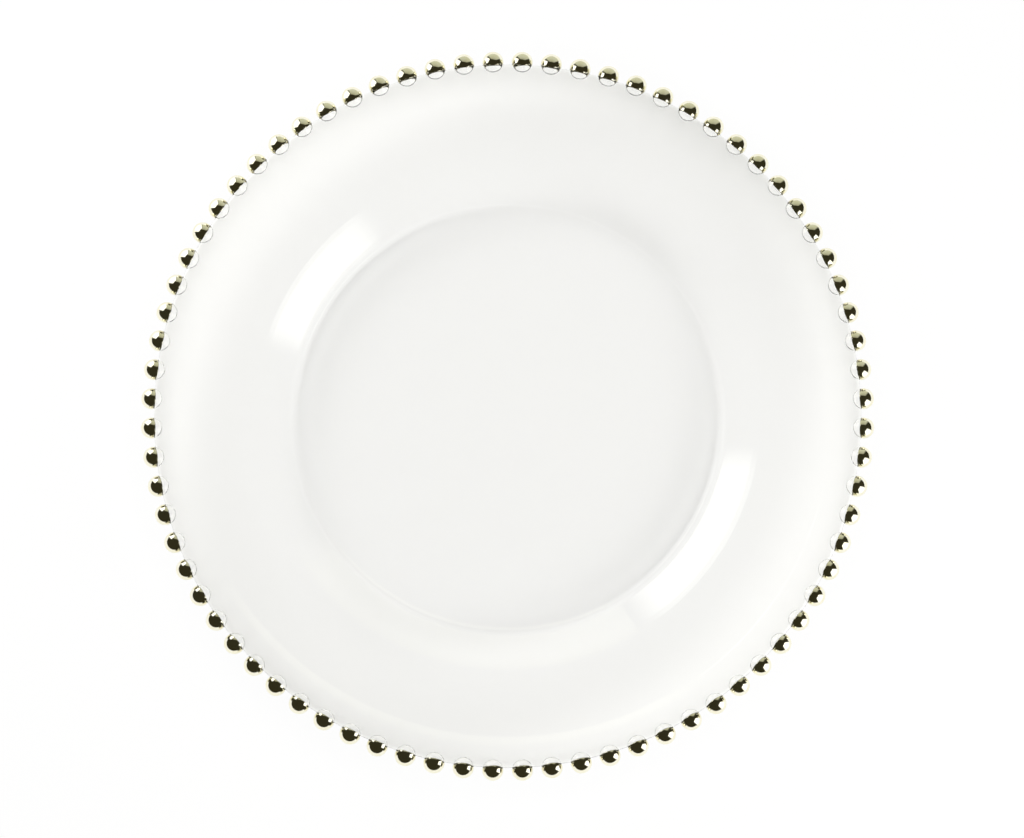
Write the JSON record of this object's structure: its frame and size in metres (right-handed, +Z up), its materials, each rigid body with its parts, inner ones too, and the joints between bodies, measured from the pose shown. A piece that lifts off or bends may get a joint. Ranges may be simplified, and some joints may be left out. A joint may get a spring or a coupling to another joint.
{
  "type": "charger plate",
  "caption": "Round clear glass charger plate with a flat well, a sloped wall, a broad stepped rim and a string of gilded glass beads set in its edge.",
  "frame": {"origin": "centre of the flat underside, on the surface that the plate stands on", "axes": "+Z up along the plate's axis; +X and +Y each point midway between two beads"},
  "size_m": [0.3298, 0.3298, 0.0243],
  "materials": {
    "plate_glass": "clear, fire polished, with a faint waviness from pressing",
    "bead_glass": "clear, fire polished",
    "gilding": "bright pale gold, polished, slightly uneven"
  },
  "bodies": {
    "root": {"glass_plate": "plate_glass", "beads_01": "bead_glass", "beads_02": "bead_glass", "beads_03": "bead_glass", "beads_04": "bead_glass", "beads_05": "bead_glass", "beads_06": "bead_glass", "beads_07": "bead_glass", "beads_08": "bead_glass", "beads_09": "bead_glass", "beads_10": "bead_glass", "beads_11": "bead_glass", "beads_12": "bead_glass", "beads_13": "bead_glass", "beads_14": "bead_glass", "beads_15": "bead_glass", "beads_16": "bead_glass", "beads_17": "bead_glass", "beads_18": "bead_glass", "beads_19": "bead_glass", "gilding_01": "gilding", "gilding_02": "gilding", "gilding_03": "gilding", "gilding_04": "gilding", "gilding_05": "gilding", "gilding_06": "gilding", "gilding_07": "gilding", "gilding_08": "gilding", "gilding_09": "gilding", "gilding_10": "gilding", "gilding_11": "gilding", "gilding_12": "gilding", "gilding_13": "gilding", "gilding_14": "gilding", "gilding_15": "gilding", "gilding_16": "gilding", "gilding_17": "gilding", "gilding_18": "gilding", "gilding_19": "gilding"}
  },
  "joints": []
}
